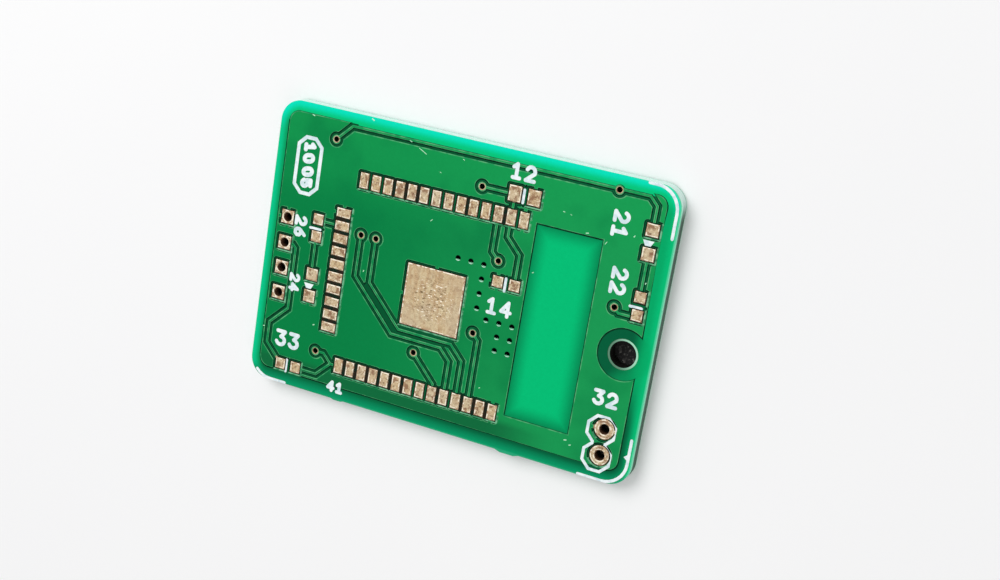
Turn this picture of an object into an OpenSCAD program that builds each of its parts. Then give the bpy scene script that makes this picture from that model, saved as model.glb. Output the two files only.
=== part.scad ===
// Bare two-layer circuit board for a small radio module: an epoxy-glass laminate with an etched
// copper foil on each face, plated holes, a gold finish on the open copper, green solder mask and
// a white printed legend. No component is fitted. Everything is placed from the middle of the
// board, with the component side up and the lower mask on z = 0.

/* [Board] */
// Length of the board along X
board_l = 40.4; // [40:0.1:46]
// Width of the board along Y, without the stubs
board_w = 28.1; // [27.8:0.1:34]
// Finished thickness, from mask to mask
board_t = 1.6; // [0.8:0.1:2.4]
// Radius of the board's corners
corner_r = 2.1; // [1:0.1:2.8]
// How far the snapped-off panel tabs stand out of the front edge
stub_out = 0.18; // [0.05:0.01:0.5]
// Length of the wide tab stub
stub_wide_l = 1.4; // [1:0.1:4]
// Length of the narrow tab stub
stub_narrow_l = 0.8; // [0.6:0.1:3]

/* [Layers] */
// Thickness of the copper foil
copper_t = 0.035; // [0.025:0.001:0.07]
// Thickness of the solder mask where it lies on copper
mask_t = 0.025; // [0.02:0.001:0.04]
// How far the mask sinks between two copper areas
mask_dip = 0.015; // [0.006:0.001:0.018]
// Thickness of the gold finish
gold_t = 0.012; // [0.008:0.001:0.018]
// Thickness of the printed ink
ink_t = 0.015; // [0.01:0.001:0.03]
// Wall of the copper plated into a hole
plating_t = 0.03; // [0.02:0.005:0.05]

/* [Copper] */
// Width of a track
track_w = 0.25; // [0.15:0.01:0.35]
// Gap between the ground plane and everything else
clearance = 0.3; // [0.2:0.01:0.32]
// Width of the spokes that join a ground pad to its plane
spoke_w = 0.35; // [0.2:0.05:0.6]
// Distance from the left edge to the ground plane
left_margin = 0.95; // [0.5:0.05:1.1]
// Distance from the right edge to the ground plane
right_margin = 1.3; // [0.8:0.05:1.35]
// Distance from the back edge to the ground plane
back_margin = 1.0; // [0.8:0.05:1.1]
// Distance from the front edge to the ground plane
front_margin = 1.3; // [0.6:0.05:1.4]
// Radius of the ground plane's corners
plane_corner_r = 1.0; // [0.5:0.1:1.4]
// Length of the antenna window, which has no copper, along X
window_l = 6.5; // [5:0.1:6.7]
// Width of the antenna window along Y
window_w = 18.6; // [14:0.1:18.8]

/* [Module footprint] */
// Spacing of the module's pads
pad_pitch = 1.27; // [1.24:0.01:1.28]
// Width of a module pad, along its row
pad_w = 0.9; // [0.6:0.05:0.95]
// Length of a module pad, across its row
pad_l = 1.5; // [1:0.05:1.7]
// Distance from the module's middle to each long row
row_y = 9.29; // [9.2:0.01:9.4]
// Distance from the module's middle to the short column
column_x = 9.93; // [9.8:0.01:10.1]
// Side of the thermal pad
thermal_side = 6; // [5:0.1:6.1]

/* [Small parts] */
// Pad size of a small resistor or capacitor
chip_pad = 1.05; // [0.8:0.05:1.1]
// Pad spacing of a small resistor or capacitor
chip_pitch = 1.7; // [1.6:0.05:1.85]
// Pad size of a light-emitting diode
led_pad = 1.2; // [1:0.05:1.25]
// Pad spacing of a light-emitting diode
led_pitch = 2.2; // [2:0.05:2.3]
// Pad length of the large capacitor, along the part
big_pad_l = 1.25; // [1:0.05:1.3]
// Pad width of the large capacitor, across the part
big_pad_w = 1.5; // [1.2:0.05:1.55]
// Pad spacing of the large capacitor
big_pitch = 1.9; // [1.8:0.05:2.1]

/* [Holes] */
// Radius of the mounting hole
mount_r = 1.25; // [1:0.05:1.5]
// Width of the ring around the mounting hole that has no copper
mount_ring = 1.2; // [0.8:0.05:1.25]
// Width of the ring around the mounting hole that has no mask
mount_mask_gap = 0.2; // [0.16:0.01:0.3]
// Spacing of the header pins
header_pitch = 2.54; // [2.5:0.01:2.6]
// Finished hole radius in the four-pin header
square_hole_r = 0.45; // [0.3:0.01:0.5]
// Side of the four-pin header's square pads
square_pad = 1.35; // [1.3:0.01:1.45]
// Finished hole radius in the two-pin header
round_hole_r = 0.5; // [0.4:0.01:0.6]
// Radius of the two-pin header's round pads
round_pad_r = 0.95; // [0.8:0.01:0.96]
// Finished hole radius of a via
via_r = 0.27; // [0.2:0.01:0.3]
// Radius of a via's copper ring
via_land_r = 0.43; // [0.38:0.01:0.45]
// Spacing of the stitching vias
stitch_pitch = 1.32; // [1.2:0.01:1.34]

/* [Mask and legend] */
// How far a mask window stands clear of its pad
window_gap = 0.12; // [0.03:0.01:0.15]
// How far an open via's mask window stands clear of its hole
via_window_gap = 0.09; // [0.03:0.01:0.1]
// How much the mask narrows the holes that it covers
tent = 0.05; // [0.02:0.01:0.1]
// Width of a printed line
ink_w = 0.29; // [0.2:0.01:0.35]
// Width of the line of the printed frame
frame_line = 0.36; // [0.25:0.01:0.45]
// Length of the printed frame
frame_l = 5.78; // [4:0.1:6]
// Width of the printed frame
frame_w = 2.86; // [2:0.1:3]

/* [Hidden] */
$fn = 48;

// Heights, from the table up
z_copper_low = mask_t;
z_laminate = mask_t + copper_t;
laminate_t = board_t - 2 * z_laminate;
z_foil = z_laminate + laminate_t;
z_copper = z_foil + copper_t;
z_mask = board_t;
z_dip = z_mask - mask_dip;

// Places, chosen on the board and measured from its middle
mid_y = stub_out / 2;
module_at = [-2.24, -1.36 + mid_y];
thermal_at = module_at + [0.53, -0.3];
window_at = [10.51, -1.28 + mid_y];
mount_at = [17.46, -1.79 + mid_y];
four_pin_at = [-18.14, -1.2 + mid_y];
two_pin_at = [17.09, -10.38 + mid_y];
via_led_start = [-14.02, 11.2 + mid_y];
via_led_end = [14.36, 12.7 + mid_y];
via_supply = [1.45, 10.09 + mid_y];
via_enable = [4.2, 3.67 + mid_y];
via_corner = [-13.21, -9.78 + mid_y];
via_pair = [[-10.04, 2.74 + mid_y], [-8.44, 2.74 + mid_y]];
via_row_left = [-2.82, -7.14 + mid_y];
via_row_right = [2.86, -3.66 + mid_y];
via_resistor = [15.86, 2.26 + mid_y];
stitch_corner = [2.86, 2.99 + mid_y];
stitch_column_pitch = 1.4;
stitch_grid = [3.96, -2.09 + mid_y];
stub_at = [[8.16, stub_wide_l, stub_out], [-10.14, stub_narrow_l, 0.55 * stub_out]];
frame_at = [-16.67, 8.03 + mid_y];
frame_cut = 0.85;
bracket_r = 2.2;
bracket_at = [[17.66, 11.74 + mid_y], [17.61, -11.76 + mid_y], [-17.84, -11.76 + mid_y]];
outline_a = 1.3;
outline_at = [[16.81, -9.28 + mid_y], [16.81, -11.88 + mid_y]];
// The print sits a little to the left of the pads and nearer the front
print_shift = [-0.18, -0.1];
led_mark_l = 1.05;
led_mark_w = 0.5;
bars = [[[5.61, 9.49 + mid_y], [0, 1.2]], [[5.26, 1.04 + mid_y], [0, 1.2]],
    [[-16.19, -12.75 + mid_y], [0, 1.2]], [[-15.54, 2.19 + mid_y], [1.1, 0]],
    [[17.26, 2.74 + mid_y], [1.1, 0]]];

// Two-pad parts: middle, turn, pad length along the part, pad width across it, pad spacing
large_capacitor = [[5.69, 10.14 + mid_y], 0, big_pad_l, big_pad_w, big_pitch];
small_capacitor = [[5.31, 1.75 + mid_y], 0, chip_pad, chip_pad, chip_pitch];
right_led = [[18.01, 8.74 + mid_y], 90, led_pad, led_pad, led_pitch];
left_led = [[-14.7, -3.46 + mid_y], 90, led_pad, led_pad, led_pitch];
right_resistor = [[18.06, 2.85 + mid_y], 90, chip_pad, chip_pad, chip_pitch];
left_resistor = [[-14.79, 2.29 + mid_y], 90, chip_pad, chip_pad, chip_pitch];
corner_resistor = [[-16.04, -12.1 + mid_y], 0, chip_pad, chip_pad, chip_pitch];
chips = [large_capacitor, small_capacitor, right_led, left_led, right_resistor, left_resistor,
    corner_resistor];

// Module pads: the two rows run along X, the column along Y
row_count = 14;
column_count = 10;
last = row_count - 1;
function row_x(i) = (i - last / 2) * pad_pitch;
function back_pad(i) = module_at + [row_x(i), row_y];
function front_pad(i) = module_at + [row_x(i), -row_y];
function side_pad(j) = module_at + [-column_x, ((column_count - 1) / 2 - j) * pad_pitch];
// Gaps between neighbouring pads that still hold a web of mask
back_webs = [0, 1, 5, 6, 7, 9, 10, 12];
front_webs = [6, 7, 9];

// Pins and vias
function pin(at, count, i) = at + [0, ((count - 1) / 2 - i) * header_pitch];
function square_pin(i) = pin(four_pin_at, 4, i);
function round_pin(i) = pin(two_pin_at, 2, i);
signal_vias = [via_led_start, via_led_end, via_supply, via_enable, via_corner, via_pair[0],
    via_pair[1], via_row_left, via_row_right, via_resistor];
stitching_vias = [
    for (k = [0:2]) stitch_corner - [k * stitch_pitch, 0],
    for (k = [1:3]) stitch_corner - [0, k * stitch_column_pitch],
    for (k = [0:2]) stitch_grid + [k * stitch_pitch, 0],
    for (j = [1:2], k = [1:2]) stitch_grid + [k * stitch_pitch, -j * stitch_pitch]];

// A pad of a two-pad part: s is -1 for the first pad and 1 for the second
function turned(a, v) = [v[0] * cos(a) - v[1] * sin(a), v[0] * sin(a) + v[1] * cos(a)];
function chip_at(f, s) = f[0] + turned(f[1], [s * f[4] / 2, 0]);

// Routes run straight and at 45 degrees. One has its slanted stretch first, the other last.
function slant(a, b) = min(abs(b[0] - a[0]), abs(b[1] - a[1]))
    * [sign(b[0] - a[0]), sign(b[1] - a[1])];
function slant_first(a, b) = norm(slant(a, b)) < 0.01 ? [a, b] : [a, a + slant(a, b), b];
function slant_last(a, b) = norm(slant(a, b)) < 0.01 ? [a, b] : [a, b - slant(a, b), b];
// Joins stretches end to end and drops points that repeat
function joined(stretches) = let (p = [for (s = stretches) each s])
    [for (i = [0:len(p) - 1]) if (i == 0 || norm(p[i] - p[max(i - 1, 0)]) > 0.01) p[i]];

// The outline of a band of width w along points, with mitred bends and rounded ends
function unit(v) = v / norm(v);
function left(v) = [-v[1], v[0]];
function flank(p, w) = [for (i = [0:len(p) - 1])
    let (a = unit(i == 0 ? p[1] - p[0] : p[i] - p[i - 1]),
         b = unit(i == len(p) - 1 ? p[i] - p[i - 1] : p[i + 1] - p[i]))
    p[i] + w / 2 * (left(a) + left(b)) / (1 + a * b)];
function cap(p, w) = let (n = len(p) - 1, d = unit(p[n] - p[n - 1]))
    [for (t = [45, 0, -45]) p[n] + w / 2 * (cos(t) * d + sin(t) * left(d))];
function reversed(p) = [for (i = [len(p) - 1:-1:0]) p[i]];
module band(p, w) {
    q = reversed(p);
    polygon(reversed(concat(flank(p, w), cap(p, w), flank(q, w), cap(q, w))));
}

// Arcs and rounded rectangles as outlines
function arc(c, r, a0, a1, n) = [for (i = [0:n])
    let (a = a0 + (a1 - a0) * i / n) c + r * [cos(a), sin(a)]];
module round_rectangle(size, r, n = 3)
    polygon([for (q = [0:3]) each arc([(q == 0 || q == 3 ? 1 : -1) * (size[0] / 2 - r),
        (q < 2 ? 1 : -1) * (size[1] / 2 - r)], r, 90 * q, 90 * q + 90, n)]);

// A rectangle grown by g on each side, with corners of radius g
module grown(at, size, g) translate(at)
    if (g > 0) round_rectangle(size + 2 * [g, g], g);
    else square(size, center = true);

module chip_land(f, s, g = 0)
    grown(chip_at(f, s), f[1] == 0 ? [f[2], f[3]] : [f[3], f[2]], g);
module back_land(i, g = 0) grown(back_pad(i), [pad_w, pad_l], g);
module front_land(i, g = 0) grown(front_pad(i), [pad_w, pad_l], g);
module side_land(j, g = 0) grown(side_pad(j), [pad_l, pad_w], g);
module thermal_land(g = 0) grown(thermal_at, [thermal_side, thermal_side], g);
module square_land(i, g = 0) grown(square_pin(i), [square_pad, square_pad], g);
module round_land(i, g = 0) translate(round_pin(i)) circle(r = round_pad_r + g);
module via_land(p, g = 0) translate(p) circle(r = via_land_r + g);

// Holes of every kind, in plan, each grown by e
module discs(points, r) for (p = points) translate(p) circle(r = r);
module plated_drills(e = 0) {
    discs(signal_vias, via_r + e);
    discs(stitching_vias, via_r + e);
    discs([for (i = [0:3]) square_pin(i)], square_hole_r + e);
    discs([for (i = [0:1]) round_pin(i)], round_hole_r + e);
}

// The board's outline, with the stubs of the tabs that held it in its panel
module stub(l, out) polygon([[-l / 2 - 3 * out, 0.3], [-l / 2 - 3 * out, 0], [-l / 2, -out],
    [l / 2, -out], [l / 2 + 3 * out, 0], [l / 2 + 3 * out, 0.3]]);
module board_outline() {
    translate([0, mid_y]) {
        for (x = [-1, 1], y = [-1, 1])
            translate([x * (board_l / 2 - corner_r), y * (board_w / 2 - corner_r)])
                circle(r = corner_r);
        square([board_l, board_w - 2 * corner_r], center = true);
        square([board_l - 2 * corner_r, board_w], center = true);
        for (s = stub_at) translate([s[0], -board_w / 2]) stub(s[1], s[2]);
    }
}

// Nets of the component side. Each takes g, by which it grows to cut the plane's gap.
module led_feed(g = 0) {
    run_y = 12.78 + mid_y;
    knee = chip_at(right_led, 1)[0];
    band(joined([slant_first(via_led_start, [0, run_y]),
        slant_last([0, run_y], [knee, run_y - 0.75]), [chip_at(right_led, 1)]]), track_w + 2 * g);
    via_land(via_led_start, g);
    via_land(via_led_end, g);
    chip_land(right_led, 1, g);
}
module supply(g = 0) {
    first = chip_at(large_capacitor, -1);
    second = chip_at(small_capacitor, 1);
    band([via_supply, [first[0], via_supply[1]]], track_w + 2 * g);
    band([[back_pad(12)[0], first[1]], back_pad(12)], track_w + 2 * g);
    band(joined([[back_pad(12)], slant_first(back_pad(12) - [0, 1.85], second)]),
        track_w + 2 * g);
    via_land(via_supply, g);
    chip_land(large_capacitor, -1, g);
    back_land(12, g);
    chip_land(small_capacitor, 1, g);
}
module enable(g = 0) {
    band(joined([[back_pad(11)], slant_last(back_pad(11) - [0, pad_l / 2], via_enable)]),
        track_w + 2 * g);
    back_land(11, g);
    via_land(via_enable, g);
}
module resistor_to_column(g = 0) {
    band(joined([slant_first(chip_at(left_resistor, 1), side_pad(1))]), track_w + 2 * g);
    chip_land(left_resistor, 1, g);
    side_land(1, g);
}
module resistor_to_led(g = 0) {
    band(joined([slant_last(chip_at(left_resistor, -1), chip_at(left_led, 1))]),
        track_w + 2 * g);
    chip_land(left_resistor, -1, g);
    chip_land(left_led, 1, g);
}
module header_net(g = 0) {
    lane = -16.84;
    outer_lane = -18.69;
    end = chip_at(corner_resistor, -1);
    start = square_pin(1);
    band(joined([slant_last(start, [lane, start[1] - 0.3]),
        slant_last([lane, start[1] - 0.3], [outer_lane, -8.2 + mid_y]),
        slant_last([outer_lane, -8.2 + mid_y], end)]), track_w + 2 * g);
    square_land(1, g);
    chip_land(corner_resistor, -1, g);
}
module corner_net(g = 0) {
    from = chip_at(corner_resistor, 1);
    meet = front_pad(0) - [0.9, 0];
    band(joined([slant_last(from, meet), [front_pad(0)]]), track_w + 2 * g);
    band(joined([slant_last(via_corner, meet), [front_pad(0)]]), track_w + 2 * g);
    via_land(via_corner, g);
    chip_land(corner_resistor, 1, g);
    front_land(0, g);
}
// Two tracks side by side, under the thermal pad, to front pads 9 and 10
pair_y = [-5.94, -5.31];
pair_reach = [4.6, 3.7];
pair_turn = [1.08, 1.35];
function pair_route(k) = let (y = pair_y[k] + mid_y)
    joined([slant_last(via_pair[k], [via_pair[k][0] + pair_reach[k], y]),
        slant_first([front_pad(9 + k)[0] - pair_turn[k], y], front_pad(9 + k))]);
module pair(g = 0) {
    for (k = [0:1]) {
        band(pair_route(k), track_w + 2 * g);
        via_land(via_pair[k], g);
        front_land(9 + k, g);
    }
    // the sliver of plane between their slanted stretches is etched away too
    if (g > 0) band([via_pair[0] + [1.15, -4.55], via_pair[0] + [4.95, -8.365]], track_w);
}
module row_via_nets(g = 0) {
    band(slant_first(via_row_left, front_pad(8)), track_w + 2 * g);
    band(slant_first(via_row_right, front_pad(11)), track_w + 2 * g);
    via_land(via_row_left, g);
    via_land(via_row_right, g);
    front_land(8, g);
    front_land(11, g);
}
module right_resistor_nets(g = 0) {
    low = chip_at(right_resistor, -1);
    band(slant_first(via_resistor, [low[0], via_resistor[1] - 0.45]), track_w + 2 * g);
    band(slant_last(chip_at(right_led, -1), chip_at(right_resistor, 1)), track_w + 2 * g);
    via_land(via_resistor, g);
    chip_land(right_led, -1, g);
    for (s = [-1, 1]) chip_land(right_resistor, s, g);
}
module plain_module(g = 0) {
    for (i = [0:10]) back_land(i, g);
    for (i = [1:7]) front_land(i, g);
    front_land(12, g);
    for (j = [2:column_count - 1]) side_land(j, g);
}
module plain_header(g = 0) {
    for (i = [2, 3]) square_land(i, g);
    round_land(1, g);
}

// Pads that belong to the ground plane, and the gaps round them that their spokes cross
module ground_lands(g = 0) {
    back_land(last, g);
    front_land(last, g);
    side_land(0, g);
    thermal_land(g);
    chip_land(large_capacitor, 1, g);
    chip_land(small_capacitor, -1, g);
    chip_land(left_led, -1, g);
    square_land(0, g);
    round_land(0, g);
}
module spokes(at, half, ways) for (d = ways) translate(at)
    rotate(d) translate([0, -spoke_w / 2]) square([half + clearance + 0.1, spoke_w]);
module ground_spokes() {
    spokes(back_pad(last), pad_w / 2, [0]);
    spokes(back_pad(last), pad_l / 2, [90, 270]);
    spokes(front_pad(last), pad_w / 2, [0]);
    spokes(front_pad(last), pad_l / 2, [90, 270]);
    spokes(side_pad(0), pad_l / 2, [0, 180]);
    spokes(side_pad(0), pad_w / 2, [90]);
    spokes(thermal_at, thermal_side / 2, [0, 90, 180]);
    spokes(chip_at(large_capacitor, 1), big_pad_l / 2, [0]);
    spokes(chip_at(large_capacitor, 1), big_pad_w / 2, [90]);
    spokes(chip_at(small_capacitor, -1), chip_pad / 2, [90, 180, 270]);
    spokes(chip_at(left_led, -1), led_pad / 2, [0, 270]);
}
module header_spokes() {
    spokes(square_pin(0), square_pad / 2, [0, 90, 180, 270]);
    spokes(round_pin(0), round_pad_r, [0, 90, 180]);
}

module plane_area() {
    l = board_l - left_margin - right_margin;
    w = board_w - back_margin - front_margin;
    translate([(left_margin - right_margin) / 2, mid_y + (front_margin - back_margin) / 2])
        round_rectangle([l, w], plane_corner_r, 6);
}
module bare_areas() {
    translate(window_at) square([window_l, window_w], center = true);
    translate(mount_at) circle(r = mount_r + mount_ring);
}
// Between the pads of a small part the plane would be a sliver, so it is etched away
module slivers() for (f = chips) if (f[4] - f[2] < 2 * clearance + 0.2)
    grown(f[0], f[1] == 0 ? [0.2, f[3] + 2 * clearance] : [f[3] + 2 * clearance, 0.2], 0);
module top_nets(g = 0) {
    led_feed(g);
    supply(g);
    enable(g);
    resistor_to_column(g);
    resistor_to_led(g);
    header_net(g);
    corner_net(g);
    pair(g);
    row_via_nets(g);
    right_resistor_nets(g);
    plain_module(g);
    plain_header(g);
}
module top_plane() {
    difference() {
        plane_area();
        bare_areas();
        top_nets(clearance);
        ground_lands(clearance);
        slivers();
    }
    ground_lands();
    ground_spokes();
    header_spokes();
}

// Component side foil
module foil() translate([0, 0, z_foil]) linear_extrude(copper_t) difference() {
    children();
    plated_drills(plating_t);
}

module laminate() color("#9fb56a") translate([0, 0, z_laminate]) linear_extrude(laminate_t)
    difference() {
        board_outline();
        plated_drills(plating_t);
        translate(mount_at) circle(r = mount_r);
    }
module ground_plane_top() color("#b87333") foil() top_plane();
module led_feed_track() color("#b87333") foil() led_feed();
module supply_track() color("#b87333") foil() supply();
module enable_track() color("#b87333") foil() enable();
module resistor_to_column_track() color("#b87333") foil() resistor_to_column();
module resistor_to_led_track() color("#b87333") foil() resistor_to_led();
module header_track() color("#b87333") foil() header_net();
module corner_track() color("#b87333") foil() corner_net();
module pair_tracks() color("#b87333") foil() pair();
module row_via_tracks() color("#b87333") foil() row_via_nets();
module right_resistor_tracks() color("#b87333") foil() right_resistor_nets();
module plain_module_lands() color("#b87333") foil() plain_module();
module plain_header_lands() color("#b87333") foil() plain_header();

// Solder side foil
module bottom_net(g = 0) {
    for (k = [0:1]) band(slant_last(square_pin(2 + k), via_pair[k]), track_w + 2 * g);
    band(slant_last(via_corner, via_row_right), track_w + 2 * g);
    band(slant_first(via_led_start, via_row_left), track_w + 2 * g);
    lane = [14.36, via_resistor[1] + 1.5];
    band(joined([slant_last(via_supply, [lane[0], via_supply[1] - 0.7]), [lane],
        slant_last(lane, round_pin(1))]), track_w + 2 * g);
    band([lane, via_resistor], track_w + 2 * g);
    for (p = signal_vias) via_land(p, g);
    for (i = [1:3]) square_land(i, g);
    round_land(1, g);
}
module bottom_plane() {
    difference() {
        plane_area();
        bare_areas();
        bottom_net(clearance);
        square_land(0, clearance);
        round_land(0, clearance);
    }
    square_land(0);
    round_land(0);
    header_spokes();
}
module low_foil() translate([0, 0, z_copper_low]) linear_extrude(copper_t) difference() {
    children();
    plated_drills(plating_t);
}
module ground_plane_bottom() color("#b87333") low_foil() bottom_plane();
module bottom_tracks() color("#b87333") low_foil() bottom_net();

// Plated walls of the holes, from the outer face of one foil to that of the other
module barrels(points, r) color("#c9a24a") translate([0, 0, z_copper_low])
    linear_extrude(z_copper - z_copper_low) difference() {
        discs(points, r + plating_t);
        discs(points, r);
    }
module signal_via_barrels() barrels(signal_vias, via_r);
module stitching_via_barrels() barrels(stitching_vias, via_r);
module four_pin_barrels() barrels([for (i = [0:3]) square_pin(i)], square_hole_r);
module two_pin_barrels() barrels([for (i = [0:1]) round_pin(i)], round_hole_r);

// Gold finish
module gold() color("#d8b377") translate([0, 0, z_copper]) linear_extrude(gold_t) children();
module back_row_gold() gold() for (i = [0:last]) back_land(i);
module front_row_gold() gold() for (i = [0:last]) front_land(i);
module column_gold() gold() for (j = [0:column_count - 1]) side_land(j);
module thermal_pad_gold() gold() thermal_land();
module chip_gold(f) gold() for (s = [-1, 1]) chip_land(f, s);
module large_capacitor_gold() chip_gold(large_capacitor);
module small_capacitor_gold() chip_gold(small_capacitor);
module right_led_gold() chip_gold(right_led);
module left_led_gold() chip_gold(left_led);
module right_resistor_gold() chip_gold(right_resistor);
module left_resistor_gold() chip_gold(left_resistor);
module corner_resistor_gold() chip_gold(corner_resistor);
// On a header pad the finish covers both faces: a ring above and a ring below
module hole_gold(r) color("#d8b377") for (z = [z_copper_low - gold_t, z_copper])
    translate([0, 0, z]) linear_extrude(gold_t) difference() {
        children(0);
        children(1);
    }
module four_pin_gold() hole_gold() {
    for (i = [0:3]) square_land(i);
    discs([for (i = [0:3]) square_pin(i)], square_hole_r);
}
module two_pin_gold() hole_gold() {
    for (i = [0:1]) round_land(i);
    discs([for (i = [0:1]) round_pin(i)], round_hole_r);
}
module signal_via_gold() hole_gold() {
    discs(signal_vias, via_r + via_window_gap);
    discs(signal_vias, via_r);
}

// Solder mask. Pads share a window wherever the web between them has broken off.
function web(i, kept) = len([for (k = kept) if (k == i) k]) > 0;
module row_windows() {
    for (i = [0:last]) {
        back_land(i, window_gap);
        front_land(i, window_gap);
    }
    for (i = [0:last - 1]) {
        if (!web(i, back_webs))
            grown((back_pad(i) + back_pad(i + 1)) / 2, [pad_pitch, pad_l], window_gap);
        if (!web(i, front_webs))
            grown((front_pad(i) + front_pad(i + 1)) / 2, [pad_pitch, pad_l], window_gap);
    }
    grown(module_at - [column_x, 0], [pad_l, (column_count - 1) * pad_pitch + pad_w],
        window_gap);
}
module header_windows() {
    for (i = [0:3]) square_land(i, window_gap);
    for (i = [0:1]) round_land(i, window_gap);
}
module open_holes() {
    translate(mount_at) circle(r = mount_r + mount_mask_gap);
    discs(signal_vias, via_r + via_window_gap);
    discs(stitching_vias, via_r - tent);
}
module chip_windows() for (f = chips, s = [-1, 1]) chip_land(f, s, window_gap);
module top_windows() {
    row_windows();
    header_windows();
    open_holes();
    thermal_land(window_gap);
    chip_windows();
}
module top_copper() {
    top_plane();
    top_nets();
}
module bottom_copper() {
    bottom_plane();
    bottom_net();
}
// The mask sinks where there is no copper under it and fills the gap down to the laminate
module solder_mask_top() color("#0d8f4c") {
    translate([0, 0, z_foil]) linear_extrude(z_dip - z_foil) difference() {
        board_outline();
        top_copper();
        top_windows();
    }
    translate([0, 0, z_copper]) linear_extrude(mask_t) difference() {
        top_copper();
        top_windows();
    }
}
module solder_mask_bottom() color("#0d8f4c") {
    translate([0, 0, mask_dip]) linear_extrude(z_laminate - mask_dip) difference() {
        board_outline();
        bottom_copper();
        header_windows();
        open_holes();
    }
    linear_extrude(mask_t) difference() {
        bottom_copper();
        header_windows();
        open_holes();
    }
}

// Legend. A print stops at the mask windows; over a dip of the mask it starts lower.
module ink(z) color("#f2f6f6") translate([0, 0, z]) linear_extrude(ink_t) children();
// Ink over mask that dips in places levels itself: the print first, then the dips
module levelled_ink() {
    ink(z_mask) difference() {
        children(0);
        children(1);
    }
    color("#f2f6f6") translate([0, 0, z_dip]) linear_extrude(mask_dip + ink_t) intersection() {
        children(0);
        children(1);
    }
}

// An outline of two octagons round the two pins, open at the waist
module octagons(a) for (p = outline_at) translate(p) rotate(22.5)
    circle(r = a / cos(22.5), $fn = 8);
module header_outline() difference() {
    octagons(outline_a + ink_w / 2);
    octagons(outline_a - ink_w / 2);
    translate((outline_at[0] + outline_at[1]) / 2)
        square([2 * (outline_a - ink_w / 2) * tan(22.5), 2 * ink_w], center = true);
    header_windows();
}
module header_outline_ink() levelled_ink() {
    header_outline();
    difference() {
        for (i = [0:1]) round_land(i, clearance);
        header_spokes();
    }
}

// Lines along the board's corners, one with a small pointer
module corner_lines() {
    band(concat([bracket_at[0] + [bracket_r, -2.25]], arc(bracket_at[0], bracket_r, 0, 90, 8),
        [bracket_at[0] + [-0.7, bracket_r]]), ink_w);
    band(concat([bracket_at[1] + [-2.25, -bracket_r]], arc(bracket_at[1], bracket_r, -90, 0, 8),
        [bracket_at[1] + [bracket_r, 2.35]]), ink_w);
    translate(bracket_at[1] + [bracket_r - 0.05, 0.65])
        polygon([[0, 0.35], [-0.4, 0], [0, -0.35]]);
    band(concat(arc(bracket_at[2], bracket_r, 225, 270, 4),
        [bracket_at[2] + [1.7, -bracket_r]]), ink_w);
}
module corner_line_ink() ink(z_dip) intersection() {
    corner_lines();
    board_outline();
}

module chip_gaps() {
    for (f = chips, s = [-1, 1]) chip_land(f, s, clearance);
    slivers();
}

// A short bar between the two pads of a resistor or capacitor
module bar_marks() for (b = bars) band([b[0], b[0] + b[1]], ink_w - 0.03);
module bar_mark_ink() levelled_ink() {
    difference() {
        bar_marks();
        chip_windows();
    }
    chip_gaps();
}

// A tapered mark between the two pads of a light-emitting diode
module led_marks() for (f = [right_led, left_led]) translate(f[0] + print_shift)
    polygon([[-led_mark_l / 2, led_mark_w / 2], [-led_mark_l / 4, -led_mark_w / 2],
        [led_mark_l / 4, -led_mark_w / 2], [led_mark_l / 2, led_mark_w / 2]]);
module led_mark_ink() levelled_ink() {
    led_marks();
    chip_gaps();
}

// A tall frame with cut corners
module octagon(size, cut) let (x = size[0] / 2, y = size[1] / 2)
    polygon([[x, cut - y], [x, y - cut], [x - cut, y], [cut - x, y],
        [-x, y - cut], [-x, cut - y], [cut - x, -y], [x - cut, -y]]);
module frame_ink() ink(z_mask) translate(frame_at) difference() {
    octagon([frame_w, frame_l], frame_cut);
    octagon([frame_w - 2 * frame_line, frame_l - 2 * frame_line],
        frame_cut - frame_line * (2 - sqrt(2)));
}

laminate();
ground_plane_top();
led_feed_track();
supply_track();
enable_track();
resistor_to_column_track();
resistor_to_led_track();
header_track();
corner_track();
pair_tracks();
row_via_tracks();
right_resistor_tracks();
plain_module_lands();
plain_header_lands();
ground_plane_bottom();
bottom_tracks();
signal_via_barrels();
stitching_via_barrels();
four_pin_barrels();
two_pin_barrels();
back_row_gold();
front_row_gold();
column_gold();
thermal_pad_gold();
large_capacitor_gold();
small_capacitor_gold();
right_led_gold();
left_led_gold();
right_resistor_gold();
left_resistor_gold();
corner_resistor_gold();
four_pin_gold();
two_pin_gold();
signal_via_gold();
solder_mask_top();
solder_mask_bottom();
header_outline_ink();
corner_line_ink();
bar_mark_ink();
led_mark_ink();
frame_ink();
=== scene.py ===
# A bare green circuit board for a small radio module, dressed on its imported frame.
import math

import bpy
from mathutils import Matrix, Vector


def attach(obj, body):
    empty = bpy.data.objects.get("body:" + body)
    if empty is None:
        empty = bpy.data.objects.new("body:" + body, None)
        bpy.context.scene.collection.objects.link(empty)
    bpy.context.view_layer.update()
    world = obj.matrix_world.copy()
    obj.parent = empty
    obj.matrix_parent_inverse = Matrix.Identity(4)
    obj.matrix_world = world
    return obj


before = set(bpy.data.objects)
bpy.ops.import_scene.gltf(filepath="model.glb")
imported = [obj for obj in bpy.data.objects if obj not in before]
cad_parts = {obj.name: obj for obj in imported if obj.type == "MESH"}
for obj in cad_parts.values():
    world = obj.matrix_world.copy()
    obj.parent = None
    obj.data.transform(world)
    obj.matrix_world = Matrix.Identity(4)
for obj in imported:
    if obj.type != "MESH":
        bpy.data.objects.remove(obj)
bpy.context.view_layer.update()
scene = bpy.context.scene
mm = 0.001


# ---------------------------------------------------------------------------------------------
# Solder mask, component side and solder side.
# A clear green epoxy lacquer, screened over the foils and cured. It looks leaf green over copper
# and dark over laminate that copper backs. Its colour carries painted glow of light coming through
# it at the rim, in the window and round the mounting hole, and painted shade beside the copper.
# ---------------------------------------------------------------------------------------------


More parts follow.
